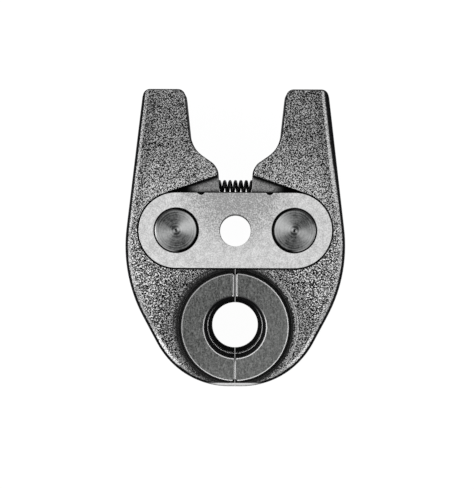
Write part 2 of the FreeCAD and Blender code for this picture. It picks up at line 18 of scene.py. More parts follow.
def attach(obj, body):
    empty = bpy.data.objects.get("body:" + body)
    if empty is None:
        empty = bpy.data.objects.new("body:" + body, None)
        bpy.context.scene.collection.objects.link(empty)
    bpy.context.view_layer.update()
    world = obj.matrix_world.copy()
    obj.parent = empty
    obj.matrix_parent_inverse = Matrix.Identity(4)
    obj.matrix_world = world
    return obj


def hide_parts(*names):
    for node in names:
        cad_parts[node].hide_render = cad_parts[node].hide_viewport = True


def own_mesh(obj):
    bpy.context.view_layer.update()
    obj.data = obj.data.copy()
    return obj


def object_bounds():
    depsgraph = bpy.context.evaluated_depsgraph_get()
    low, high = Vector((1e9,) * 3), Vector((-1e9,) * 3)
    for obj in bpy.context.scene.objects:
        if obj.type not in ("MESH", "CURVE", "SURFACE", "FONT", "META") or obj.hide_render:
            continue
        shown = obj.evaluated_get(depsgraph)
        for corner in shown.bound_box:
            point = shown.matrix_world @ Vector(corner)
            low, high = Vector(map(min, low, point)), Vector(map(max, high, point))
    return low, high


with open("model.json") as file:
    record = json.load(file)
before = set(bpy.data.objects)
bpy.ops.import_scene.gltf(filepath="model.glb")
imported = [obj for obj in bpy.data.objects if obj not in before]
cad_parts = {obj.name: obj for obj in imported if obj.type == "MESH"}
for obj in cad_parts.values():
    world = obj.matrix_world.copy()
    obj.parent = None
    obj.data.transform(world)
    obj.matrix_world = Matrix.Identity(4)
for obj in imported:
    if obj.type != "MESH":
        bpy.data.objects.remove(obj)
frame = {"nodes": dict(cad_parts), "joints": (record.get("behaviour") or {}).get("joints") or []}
cad_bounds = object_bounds()
nodes = frame["nodes"]
MM = 0.001
pivots = {joint["name"]: joint["pos_m"] for joint in frame["joints"]}
PIN_OFFSET = pivots["right_lever_pivot"][0] / MM
print("CAD box:", cad_bounds, "pins", PIN_OFFSET, "mm from the middle")

# %% [markdown]
# ## Colours and nodes
#
# Colours are written as the eye knows them, as sRGB hex, and a shader wants linear light,
# so one function converts them. Another one adds a node of any kind, sets it and links it.
# Every recipe below is made with the two.


# %% Colours and nodes
def linear(hex_colour):
    """Turn an sRGB hex colour into the linear RGBA that shaders use."""
    channels = [int(hex_colour[i:i + 2], 16) / 255 for i in (0, 2, 4)]
    return [c / 12.92 if c <= 0.04045 else ((c + 0.055) / 1.055) ** 2.4 for c in channels] + [1.0]


def add_node(tree, kind, inputs=(), **settings):
    """Add a node, set it up, and fill or link its inputs, given in a row or by name or number."""
    node = tree.nodes.new(kind)
    for name, setting in settings.items():
        setattr(node, name, setting)
    for name, source in inputs.items() if isinstance(inputs, dict) else enumerate(inputs):
        if isinstance(source, bpy.types.NodeSocket):
            tree.links.new(source, node.inputs[name])
        else:
            node.inputs[name].default_value = source
    return node


def new_material(name):
    """Start a material with an empty node tree."""
    material = bpy.data.materials.new(name)
    material.use_nodes = True
    material.node_tree.nodes.clear()
    return material


print("half grey for the eye is", round(linear("808080")[0], 3), "of white in linear light")

# %% [markdown]
# ## Where on a part a finish goes
#
# One forging carries several finishes: blasted faces, a turned boss, a dark bore. The
# solids of a CAD model lie in the part's own frame, so Object coordinates tell a shader
# where it is in real millimetres. Masks are cut from them: a mask is 1 where a finish
# lies and 0 elsewhere, with a soft step between. A painted texture could do the same, but
# a mask worked out from sizes stays sharp at any distance and needs no unwrapping. The
# numbers in the masks are millimetres on the part, or how far a face looks one way.


# %% Places and masks
def place(tree):
    """Give where a point is, in millimetres, and how far its face looks sideways or to front or back."""
    coordinates = add_node(tree, "ShaderNodeTexCoord").outputs
    spot = add_node(tree, "ShaderNodeVectorMath", {0: coordinates["Object"], 3: 1 / MM}, operation="SCALE")
    unsigned = add_node(tree, "ShaderNodeVectorMath", [spot.outputs[0]], operation="ABSOLUTE")
    away = add_node(tree, "ShaderNodeVectorMath", [coordinates["Normal"]], operation="ABSOLUTE")
    x, y, _ = add_node(tree, "ShaderNodeSeparateXYZ", [spot.outputs[0]]).outputs
    width, _, height = add_node(tree, "ShaderNodeSeparateXYZ", [unsigned.outputs[0]]).outputs
    sideways, _, facing = add_node(tree, "ShaderNodeSeparateXYZ", [away.outputs[0]]).outputs
    return SimpleNamespace(tree=tree, spot=spot.outputs[0], x=x, y=y, width=width, height=height,
                           sideways=sideways, facing=facing)


def all_of(tree, mask, *others):
    """Give 1 where every mask is 1, as their product."""
    for other in others:
        mask = add_node(tree, "ShaderNodeMath", [mask, other], operation="MULTIPLY").outputs[0]
    return mask


def any_of(tree, mask, *others):
    """Give 1 where at least one mask is 1, as the largest of them."""
    for other in others:
        mask = add_node(tree, "ShaderNodeMath", [mask, other], operation="MAXIMUM").outputs[0]
    return mask


def weigh(tree, total, *parts):
    """Add several influences to a start, each given as a value and its weight."""
    for value, weight in parts:
        total = add_node(tree, "ShaderNodeMath", [value, weight, total], operation="MULTIPLY_ADD").outputs[0]
    return total


def zone(tree, value, rise=None, fall=None):
    """Give 1 where a value is past its rise and short of its fall, each a pair of ends of a smooth step."""
    steps = []
    for ends, before, after in ((rise, 0.0, 1.0), (fall, 1.0, 0.0)):
        if ends:
            steps.append(add_node(tree, "ShaderNodeMapRange", [value, *ends, before, after],
                                  interpolation_type="SMOOTHSTEP").outputs[0])
    return all_of(tree, *steps)


def band(tree, value, start, end, soft):
    """Give 1 between two values and fade to 0 over a soft edge on both sides."""
    return zone(tree, value, (start - soft, start + soft), (end - soft, end + soft))


def radius_from(tree, x, y, middle):
    """Give the distance from an upright axis through a point, in millimetres."""
    flat = add_node(tree, "ShaderNodeCombineXYZ", [x, y])
    return add_node(tree, "ShaderNodeVectorMath", [flat.outputs[0], (*middle, 0.0)],
                    operation="DISTANCE").outputs["Value"]


# %% [markdown]
# ## Layers, grain, edges and corners
#
# A finish is a stack of layers, each laid over the last one through its masks. The grain
# of a metal is noise at the size of its real marks. Edges get a painted highlight and corners
# painted shade, and the shader can find both places itself: a rounded normal differs from
# the true one only at an edge, and a point in a corner sees little of the sky.

# %% Layers, grain, edges and corners
GRAIN_TURN = (0.6, 0.4, 0.7)


def layer(tree, below, above, *masks):
    """Lay one colour over another where every mask is 1, each colour an sRGB hex or from a node."""
    below, above = (linear(colour) if isinstance(colour, str) else colour for colour in (below, above))
    return add_node(tree, "ShaderNodeMix", {0: all_of(tree, *masks), 6: below, 7: above},
                    data_type="RGBA").outputs[2]


def grain(tree, spot, size, detail=2.0, roughness=0.6, stretch=(1, 1, 1)):
    """Give a noise with lumps about that many millimetres wide, turned so that its grid doesn't show."""
    mapped = add_node(tree, "ShaderNodeMapping", {0: spot, 2: GRAIN_TURN, 3: stretch})
    return add_node(tree, "ShaderNodeTexNoise", {"Vector": mapped.outputs[0], "Scale": 1 / size,
                                                 "Detail": detail, "Roughness": roughness}).outputs[0]


def sharp_edges(tree, rounded):
    """Give 1 where the rounded normal leaves the true one, which is along sharp edges."""
    surface = add_node(tree, "ShaderNodeNewGeometry").outputs["Normal"]
    alike = add_node(tree, "ShaderNodeVectorMath", [rounded, surface], operation="DOT_PRODUCT")
    return zone(tree, alike.outputs["Value"], fall=(0.90, 0.995))


def crevice(tree, reach):
    """Give 1 deep in a corner or a gap and 0 on open faces, looking that many millimetres far."""
    hidden = add_node(tree, "ShaderNodeAmbientOcclusion", {"Distance": reach * MM}, samples=8)
    return zone(tree, hidden.outputs["AO"], fall=(0.25, 0.95))


def bare_metal(tree, colour, roughness, relief=None, rounded=None, strength=0.0, depth=0.0):
    """End a recipe with a metal that has this colour, roughness and relief, its depth in millimetres."""
    inputs = {"Base Color": colour, "Metallic": 1.0, "Roughness": roughness}
    if relief:
        bumps = {"Strength": strength, "Distance": depth * MM, "Height": relief}
        if rounded:
            bumps["Normal"] = rounded
        inputs["Normal"] = add_node(tree, "ShaderNodeBump", bumps).outputs[0]
    shader = add_node(tree, "ShaderNodeBsdfPrincipled", inputs)
    add_node(tree, "ShaderNodeOutputMaterial", [shader.outputs[0]])


# %% [markdown]
# ## Forged steel: the peened faces
#
# The levers are drop forged and then shot blasted, which leaves a peened skin of tiny
# craters that glint or hide from the light. Bare metal has no diffuse colour, so the
# speckle is drawn in both ways that count for metal: in its tint here, and in its bumps
# at the end. Painted shade darkens the tips, where the light falls off, and the ring
# round the boss, and the wide cheeks are peened coarsest.

# %% Peened faces
BORE_AXIS = (0.0, -35.9)
# half the distance between the prongs' outer lines, level with the pins, and how far a line leans in
FLANK_FOOT = 41.6
FLANK_SLOPE = 0.1175
# where the prongs begin and where their tips darken, each with a long fade
PRONG_FOOT = (-8.0, 10.0)
TIPS = (12.0, 38.0)
# real craters are this wide, and are drawn twice as wide so that they show
CRATER, COARSE_CRATER = 0.20, 0.28
DRAWN_WIDER = 2.0


def forging_place(tree):
    """Add to the place the radius and the rise from the bore's axis, and marks and masks of the forging."""
    at = place(tree)
    at.radius = radius_from(tree, at.x, at.y, BORE_AXIS)
    at.up = weigh(tree, -BORE_AXIS[1], (at.y, 1.0))
    at.on_right = zone(tree, at.x, (-5.0, 5.0))
    at.flat = zone(tree, at.facing, (0.9, 0.99))
    at.cheeks = all_of(tree, zone(tree, at.y, fall=PRONG_FOOT), zone(tree, at.radius, (24.0, 30.0)))
    at.streaks = zone(tree, grain(tree, at.spot, 0.5, 2.0, 0.7), (0.25, 0.75))
    at.craters = grain(tree, at.spot, DRAWN_WIDER * CRATER, 1.0)
    return at


def peened_tone(at):
    """Give how light each spot of the peened skin is."""
    tree = at.tree
    craters = zone(tree, at.craters, (0.45, 0.58))
    patches = zone(tree, grain(tree, at.spot, 2.2), (0.35, 0.65))
    # painted shade: the tips and the ring round the boss are darker
    tips = zone(tree, at.y, TIPS)
    by_boss = zone(tree, at.radius, fall=(23.0, 34.0))
    boss_shade = weigh(tree, -0.38, (zone(tree, at.x, (-8.0, 8.0)), 0.09))
    # the outer edge of a prong runs straight, and a band beside it is darker; on the right
    # prong a narrow strip in that band gets a painted highlight
    inside = weigh(tree, FLANK_FOOT, (at.y, -FLANK_SLOPE), (at.width, -1.0))
    beside = all_of(tree, band(tree, inside, 2.6, 6.5, 1.6), zone(tree, at.y, (-5.0, 10.0)))
    strip = all_of(tree, band(tree, inside, 2.6, 3.7, 0.25), at.on_right, zone(tree, at.y, (5.0, 25.0)))
    coarse = zone(tree, grain(tree, at.spot, DRAWN_WIDER * COARSE_CRATER, 0.0), (0.36, 0.64))
    pitted = weigh(tree, -0.66, (coarse, 0.82))
    return weigh(tree, -0.10, (craters, 1.0), (patches, 0.14), (tips, -0.34), (by_boss, boss_shade),
                 (beside, -0.15), (strip, 0.8), (at.cheeks, pitted))


print("craters are drawn", DRAWN_WIDER * CRATER, "mm wide, on the cheeks", DRAWN_WIDER * COARSE_CRATER)

# %% [markdown]
# ## Forged steel: painted highlights on the edges and painted shade on the flanks
#
# The rounded outer edges get a painted highlight, between the craters first. The drafted
# flanks below them get painted shade, a little lighter at mid height. The
# normal tells the two apart: it leans over on an edge, and lies flat on a flank.


# %% Rubbed edges and flanks
def forged_skin(at):
    """Colour the peened faces, with painted highlights on the rounded edges and painted shade on the flanks.
    """
    tree = at.tree
    tone = peened_tone(at)
    # painted light: the pits on the prongs are darker and the peaks on the cheeks lighter
    pits = layer(tree, "030303", "131313", zone(tree, at.y, PRONG_FOOT))
    peaks = layer(tree, "CECECE", "E4E4E4", at.cheeks)
    faces = layer(tree, pits, peaks, tone)

    outer = any_of(tree, zone(tree, at.width, (24.0, 27.0)), zone(tree, at.y, fall=(-8.0, -4.0)))
    between = weigh(tree, 0.15, (zone(tree, at.craters, (0.38, 0.62)), 0.75))
    less_on_tips = weigh(tree, 1.0, (zone(tree, at.y, (30.0, 52.0)), -0.25))
    edge_highlight = layer(tree, "929292", "BABABA", at.on_right)
    # where the cheeks turn in to the nose, the painted highlight on the edge is brightest
    edge_highlight = layer(tree, edge_highlight, "FAFAFA", zone(tree, at.y, (-53.0, -48.0), (-42.0, -34.0)))
    # the rounded outer edges get a painted highlight
    on_edge = band(tree, at.facing, 0.80, 0.985, 0.012)
    bright = layer(tree, faces, edge_highlight, on_edge, outer, between, less_on_tips)

    # the flanks get painted shade, a little lighter at mid height
    waist = zone(tree, at.height, fall=(4.0, 11.0))
    dark_pits = layer(tree, "0C0C0D", "2E2E2F", waist)
    dark_peaks = layer(tree, "2E2E30", "646466", waist)
    dark = layer(tree, dark_pits, dark_peaks, tone)
    # on the right prong and the nose, the painted shade reaches further up the rounded edge
    prong_side = all_of(tree, at.on_right, outer, zone(tree, at.y, (5.0, 35.0)))
    nose_side = all_of(tree, zone(tree, at.y, fall=(-54.0, -49.0)), zone(tree, at.width, (7.0, 11.0)),
                       zone(tree, at.radius, (24.3, 25.3)))
    lean = weigh(tree, at.facing, (any_of(tree, prong_side, nose_side), -0.15))
    return layer(tree, bright, dark, zone(tree, lean, fall=(0.74, 0.84)))


# %% [markdown]
# ## Forged steel: the recess for the plate
#
# A cutter has milled a flat recess for the plate into each side of a lever, and its floor
# shows above the plate. Painted shade darkens it in the outer corners, along the plate's
# edge and under the slanted wall, which is tangent to the round of the recess.

# %% Milled recess
RECESS_FLOOR = 9.3
PLATE_ROUND = 14.3
RECESS_ROUND = PLATE_ROUND + 0.35
RECESS_SLANT = math.radians(18.85)


def mill_recess(at, skin):
    """Lay the milled floor of the recess over the skin, and give its mask too."""
    tree = at.tree
    in_recess = all_of(tree, zone(tree, at.height, fall=(RECESS_FLOOR - 0.05, RECESS_FLOOR + 0.1)), at.flat)
    corners = all_of(tree, zone(tree, at.width, (13.0, 18.5)), zone(tree, at.y, (2.0, 8.0)))
    by_plate = band(tree, at.y, PLATE_ROUND - 1.9, PLATE_ROUND + 0.25, 0.35)
    below_wall = weigh(tree, RECESS_ROUND + PIN_OFFSET * math.sin(RECESS_SLANT),
                       (at.width, -math.sin(RECESS_SLANT)), (at.y, -math.cos(RECESS_SLANT)))
    under_wall = all_of(tree, zone(tree, below_wall, fall=(0.4, 2.0)), zone(tree, at.y, (13.0, 15.0)))
    milled = layer(tree, "545454", "A4A4A4", at.streaks)
    # painted shade in the outer corners, along the plate's edge and under the slanted wall
    milled = layer(tree, milled, "101010", any_of(tree, corners, by_plate, under_wall))
    return layer(tree, skin, milled, in_recess), in_recess


print("recess floor", RECESS_FLOOR, "mm from the middle plane, round", RECESS_ROUND, "mm")

# %% [markdown]
# ## Forged steel: trough, nose and bore
#
# A lathe has cut a trough round the boss, drawn dark as painted shade. Its far lip has a
# painted highlight on the right, and so has the underside of the nose below it. The walls
# of the stepped bore are dark, apart from the edge of its cone, which has a painted
# highlight at the sides and below.

# %% Trough, nose and bore
BOSS_ROUND = 20.0
TROUGH_LIP = (22.7, 23.6)
NOSE_TURN = -56.9
BORE_MOUTH = 11.4
BORE_STEP = 10.2


def turn_trough(at, skin):
    """Lay the turned trough in painted shade and the painted highlights beside it over the skin, and give the
    mask of the nose's highlight too.
    """
    tree = at.tree
    trough_end = weigh(tree, BOSS_ROUND + 3.4, (zone(tree, at.x, (8.0, 18.0)), -1.0))
    # the trough is drawn dark: painted shade
    in_trough = zone(tree, at.radius, fall=(BOSS_ROUND + 1.6, trough_end))
    skin = layer(tree, skin, layer(tree, "101010", "343434", at.streaks), in_trough)
    # the far lip on the right gets a painted highlight, between the craters
    between = weigh(tree, 0.25, (zone(tree, at.craters, (0.42, 0.56)), 0.75))
    lip = all_of(tree, band(tree, at.radius, *TROUGH_LIP, 0.25), zone(tree, at.x, (13.0, 19.0)),
                 zone(tree, at.up, (-14.0, -6.0)), between)
    skin = layer(tree, skin, "DCDCDC", lip)
    # the underside of the nose gets a painted highlight
    nose = all_of(tree, zone(tree, at.y, fall=(NOSE_TURN - 0.2, NOSE_TURN + 0.2)),
                  zone(tree, at.width, fall=(6.0, 13.0)), zone(tree, at.height, (11.0, 12.2)))
    return layer(tree, skin, "DCDCDC", nose), nose


def turn_bore(at, skin):
    """Lay the dark stepped bore over the skin, and give its mask too."""
    tree = at.tree
    in_bore = zone(tree, at.radius, fall=(BORE_MOUTH + 0.05, BORE_MOUTH + 0.10))
    # the edge of the cone gets a painted highlight at the sides and below
    cone_edge = all_of(tree, band(tree, at.radius, BORE_STEP - 0.05, BORE_STEP + 0.2, 0.08),
                       zone(tree, at.up, fall=(2.0, 8.0)))
    cone = layer(tree, "343435", "F2F2F2", cone_edge)
    bore = layer(tree, "131314", cone, zone(tree, at.facing, (0.4, 0.6)))
    return layer(tree, skin, bore, in_bore), in_bore


print("bore mouth", BORE_MOUTH, "mm, step", BORE_STEP, "mm, boss", BOSS_ROUND, "mm in radius")

# %% [markdown]
# ## Forged steel: the boss and the press faces
#
# The face of the boss is turned smooth and then scuffed in use, over fine hairlines, and
# painted light makes it a little lighter towards the lower right. Its bevels get a painted
# highlight: most on the right and below, and hardly at the top of the bore's mouth. Along
# the split the two press faces are ground flat.

# %% Boss and press faces
BOSS_FACE = 16.4
HAIRLINE_STRETCH = (1.0, 0.2, 1.0)
SPLIT_BEVEL = 1.0


def turn_boss(at, skin):
    """Lay the scuffed face of the boss over the skin, and give its mask too."""
    tree = at.tree
    on_boss = all_of(tree, zone(tree, at.height, (BOSS_FACE, BOSS_FACE + 0.05)), at.flat)
    scuffs = zone(tree, grain(tree, at.spot, 0.9, 4.0, 0.75), (0.48, 0.72))
    hairlines = zone(tree, grain(tree, at.spot, 0.5, 2.0, 0.7, HAIRLINE_STRETCH), (0.35, 0.65))
    cut = layer(tree, "353635", "6A6B6A", weigh(tree, -0.3, (at.streaks, 1.0), (hairlines, 0.6)))
    # painted light: the face is lighter towards the lower right
    lower_right = zone(tree, weigh(tree, at.x, (at.y, -1.0)), (16.0, 56.0))
    face = layer(tree, cut, "A6A7A6", weigh(tree, -0.02, (scuffs, 0.4), (lower_right, 0.12)))
    return layer(tree, skin, face, on_boss), on_boss


def bevel_boss(at, skin):
    """Lay the bevels of the boss with their painted highlight over the skin, and give how strong the
    highlight is at each place too.
    """
    tree = at.tree
    on_bevel = all_of(tree, band(tree, at.facing, 0.55, 0.85, 0.05), zone(tree, at.height, (15.7, 15.8)))
    by_split = zone(tree, at.width, fall=(SPLIT_BEVEL - 0.1, SPLIT_BEVEL + 0.1))
    # the bevels get a painted highlight, most on the right and below, hardly at the top of the mouth
    round_boss = weigh(tree, 0.55, (zone(tree, weigh(tree, at.x, (at.up, -0.6)), (-20.0, 16.0)), 0.45))
    round_mouth = weigh(tree, 0.95, (zone(tree, at.up, (2.0, 9.0)), -0.85))
    at_mouth = zone(tree, at.radius, fall=(13.0, 14.0))
    bevel_highlight = weigh(tree, round_boss, (weigh(tree, round_mouth, (round_boss, -1.0)), at_mouth))
    bevel_highlight = any_of(tree, bevel_highlight, by_split)
    bevel = layer(tree, layer(tree, "505050", "9C9C9C", by_split), layer(tree, "404040", "ECECEC", bevel_highlight),
                  zone(tree, at.height, (16.12, 16.28)))
    return layer(tree, skin, bevel, on_bevel), bevel_highlight


def grind_press_faces(at, skin):
    """Lay the ground faces along the split over the skin, and give their mask too."""
    tree = at.tree
    ground = all_of(tree, zone(tree, at.width, fall=(0.5, 0.7)), zone(tree, at.sideways, (0.9, 0.97)))
    return layer(tree, skin, layer(tree, "7C7C7C", "ACACAC", at.streaks), ground), ground


print("boss face", BOSS_FACE, "mm from the middle plane")

# %% [markdown]
# ## Forged steel: all layers together
#
# Last come painted light and shade: sharp edges get a painted highlight, strongest on the
# right and below, and corners and gaps get painted shade.
# The craters are also real relief, apart from the machined places. The scale on the flanks
# and the dull skin of the bore scatter light all round, so those places are rough.


# %% All layers of the forging
def forged_steel():
    """Make the shot-blasted forging with its machined places."""
    material = new_material("shot_blasted_forged_steel")
    tree = material.node_tree
    at = forging_place(tree)
    skin, in_recess = mill_recess(at, forged_skin(at))
    skin, nose = turn_trough(at, skin)
    skin, in_bore = turn_bore(at, skin)
    skin, on_boss = turn_boss(at, skin)
    skin, bevel_highlight = bevel_boss(at, skin)
    skin, ground = grind_press_faces(at, skin)
    machined = any_of(tree, on_boss, in_recess)

    rounded = add_node(tree, "ShaderNodeBevel", {"Radius": 0.22 * MM}, samples=6).outputs[0]
    # sharp edges get a painted highlight where the bevels of the boss have theirs, but not below the bore
    below_bore = all_of(tree, zone(tree, at.width, fall=(1.2, 1.5)), zone(tree, at.up, fall=(-14.0, -13.0)))
    skin = layer(tree, skin, "C6C6C6", sharp_edges(tree, rounded), weigh(tree, bevel_highlight, (below_bore, -1.0)),
                 zone(tree, at.facing, (0.3, 0.6)), weigh(tree, 0.25, (machined, 0.75)))
    # painted shade in corners and gaps, weaker in the bore and none on the nose
    skin = layer(tree, skin, "040404", crevice(tree, 2.2), weigh(tree, 1.0, (in_bore, -0.7)),
                 weigh(tree, 1.0, (nose, -1.0)))

    scaly = any_of(tree, weigh(tree, 0.5, (zone(tree, at.facing, fall=(0.70, 0.84)), 0.5)), in_bore)
    rough = weigh(tree, scaly, (ground, -0.5))
    relief = all_of(tree, at.craters, weigh(tree, 1.0, (machined, -1.0)))
    bare_metal(tree, skin, rough, relief, rounded, strength=0.5, depth=0.15)
    return material


forging = forged_steel()
print(forging.name, "is made of", len(forging.node_tree.nodes), "nodes")

# %% [markdown]
# ## Ground plate steel
#
# The cheek plates are blanked from bright sheet and finely ground, which leaves a satin
# face with a fine random grain, far lighter than the forging. A dark reflection is painted
# in the middle of the upper edge, between the two notches. Painted shade marks the gap
# round each pin.

# %% Satin plate steel
DARK_REFLECTION_SPOT = (0.0, 16.0)
PIN_GAP = 8.5


def plate_steel():
    """Make the pale satin sheet of the cheek plates."""
    material = new_material("satin_ground_sheet_steel")
    tree = material.node_tree
    at = place(tree)
    fine = grain(tree, at.spot, 0.5, 2.0, 0.7)
    clouds = zone(tree, grain(tree, at.spot, 2.5), (0.3, 0.7))
    # a painted dark reflection in the middle of the upper edge
    dark_reflection = zone(tree, radius_from(tree, at.x, at.y, DARK_REFLECTION_SPOT), fall=(3.0, 27.0))
    specks = weigh(tree, 0.5, (zone(tree, fine, (0.38, 0.62)), -1.0))
    # the grain is bolder where the dark reflection is painted
    tone = weigh(tree, 0.5, (clouds, 0.24), (specks, weigh(tree, 0.40, (dark_reflection, 0.53))), (dark_reflection, -0.66))
    face = layer(tree, "909090", "E3E3E3", tone)
    # the upright edges get painted shade
    upright = zone(tree, at.facing, fall=(0.75, 0.9))
    face = layer(tree, face, "1C1C1C", upright)
    by_pin = radius_from(tree, at.width, at.y, (PIN_OFFSET, 0.0))
    # painted shade in the gap round each pin
    face = layer(tree, face, "060606", zone(tree, by_pin, fall=(PIN_GAP - 0.05, PIN_GAP + 0.1)))
    # painted shade in corners and gaps
    face = layer(tree, face, "060606", crevice(tree, 0.8))
    rounded = add_node(tree, "ShaderNodeBevel", {"Radius": 0.15 * MM}, samples=6).outputs[0]
    bare_metal(tree, face, any_of(tree, upright, 0.38), fine, rounded, strength=0.15, depth=0.05)
    return material


sheet = plate_steel()
print(sheet.name, "is made of", len(sheet.node_tree.nodes), "nodes")

# %% [markdown]
# ## Turned pin steel
#
# A lathe tool leaves fine rings round a pin's end. Each ring mirrors light only across
# itself, so a turned face shows two bright wedges that meet in its middle. An anisotropic
# shader does that by itself, but only when the lamps are right. Here the wedges are drawn:
# their share at a place follows from the powers of the cosine between that place and the
# wedge's way. The pins mirror each other, so one recipe that counts inwards serves both.

# %% Turned pins
PIN_BEVEL = 7.45
PIN_RIM = 7.95
WEDGE_TURN = math.radians(20)
# tool marks 0.45 mm apart, wider than real ones so that they show
MARKS_PER_MM = 2.2


def wedge_share(at, inward, radius):
    """Give the brightness of the two wedges, of which the far one is cut off at its upper flank."""
    tree = at.tree
    cosine, sine = math.cos(WEDGE_TURN), math.sin(WEDGE_TURN)
    steady = any_of(tree, radius, 0.3)
    along = weigh(tree, 0.0, (inward, cosine), (at.y, sine))
    across = weigh(tree, 0.0, (at.y, cosine), (inward, -sine))
    turn, crossing = (add_node(tree, "ShaderNodeMath", [way, steady], operation="DIVIDE").outputs[0]
                      for way in (along, across))
    square = all_of(tree, turn, turn)
    upper_flank = all_of(tree, crossing, turn)
    cut_off = add_node(tree, "ShaderNodeMath", [upper_flank, 0.0], operation="MINIMUM").outputs[0]
    return weigh(tree, 0.13, (turn, 0.15), (square, weigh(tree, 0.20, (square, 0.50))), (cut_off, 0.12))


def pin_steel():
    """Make the turned steel of the pivot pins."""
    material = new_material("turned_hardened_steel")
    tree = material.node_tree
    at = place(tree)
    radius = radius_from(tree, at.width, at.y, (PIN_OFFSET, 0.0))
    inward = weigh(tree, PIN_OFFSET, (at.width, -1.0))
    count = weigh(tree, 0.0, (radius, MARKS_PER_MM))
    marks = add_node(tree, "ShaderNodeTexNoise", {"W": count, "Scale": 1.0, "Detail": 2.0},
                     noise_dimensions="1D").outputs[0]
    fine = zone(tree, grain(tree, at.spot, 0.6, 3.0, 0.7), (0.3, 0.7))
    patches = zone(tree, grain(tree, at.spot, 2.0), (0.3, 0.7))
    # the lathe centre is a dark dish with a light ring round its dark pip
    dish = zone(tree, radius, fall=(1.3, 2.0))
    ring = band(tree, radius, 0.6, 1.1, 0.25)
    tone = weigh(tree, wedge_share(at, inward, radius), (zone(tree, marks, (0.35, 0.65)), 0.18), (fine, 0.18),
                 (patches, 0.16), (ring, 0.26), (dish, -0.22))
    face = layer(tree, "333434", "B4B5B5", weigh(tree, -0.26, (tone, 1.0)))

    # the bevel glints on the far side below, and hides in shade on the near side
    on_bevel = zone(tree, radius, (PIN_BEVEL - 0.05, PIN_BEVEL + 0.05))
    outward_below = weigh(tree, 0.0, (inward, -0.8), (at.y, -0.6))
    bevel = layer(tree, "3C3C3C", "9C9C9C", zone(tree, outward_below, (0.4 * PIN_BEVEL, 0.9 * PIN_BEVEL)))
    face = layer(tree, face, bevel, on_bevel)
    shade = any_of(tree, all_of(tree, on_bevel, zone(tree, inward, (-1.5, 2.0))),
                   zone(tree, radius, (PIN_RIM - 0.05, PIN_RIM + 0.05)))
    face = layer(tree, face, "060606", shade)
    bare_metal(tree, face, 0.42, marks, strength=0.2, depth=0.05)
    return material


pin_ends = pin_steel()
print(pin_ends.name, "is made of", len(pin_ends.node_tree.nodes), "nodes")

# %% [markdown]
# ## Small steels
#
# The spring wire is black oxide steel with a dull gloss. The snap rings are hidden
# between pin and plate, and are plain bright wire. Neither needs more than a faint
# unevenness of tone.


# %% Spring and ring steel
def plain_steel(name, dark, light, roughness, grain_size):
    """Make a bare or blackened steel with a faint uneven tone."""
    material = new_material(name)
    tree = material.node_tree
    bare_metal(tree, layer(tree, dark, light, grain(tree, place(tree).spot, grain_size)), roughness)
    return material


def dress(node, material):
    """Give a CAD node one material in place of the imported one."""
    materials = nodes[node].data.materials
    materials.clear()
    materials.append(material)


ring_steel = plain_steel("bright_ring_steel", "6A6A6A", "8E8E8E", 0.35, 1.0)
spring_steel = plain_steel("black_oxide_spring_wire", "161617", "2C2C2D", 0.38, 0.8)
for side in ("left", "right"):
    dress(f"{side}_jaw", forging)
    dress(f"{side}_pin", pin_ends)
    for face in ("front", "rear"):
        dress(f"{side}_{face}_snap_ring", ring_steel)
for face in ("front", "rear"):
    dress(f"{face}_plate", sheet)
print("dressed:", {name: node.data.materials[0].name for name, node in nodes.items()})

# %% [markdown]
# ## The closing spring
#
# A coil spring is one rule: a round wire that follows a helix. Geometry Nodes has a
# spiral curve for the path and sweeps a circle along it. The spring is wound in two
# halves that meet in the middle, because each half rides on its own lever as the levers
# swing. Turned half round, the same half winds on from where its twin ends.

# %% Wind half a spring with Geometry Nodes
SPRING_SIZES = {
    "coil radius": 2.35 * MM,
    "wire radius": 0.55 * MM,
    "half length": 11.1 * MM,
    "pitch": 2.05 * MM,
}
SPRING_AXIS = (0.0, 16.5 * MM, 0.0)
STEPS_PER_TURN = 28
WIRE_SIDES = 14


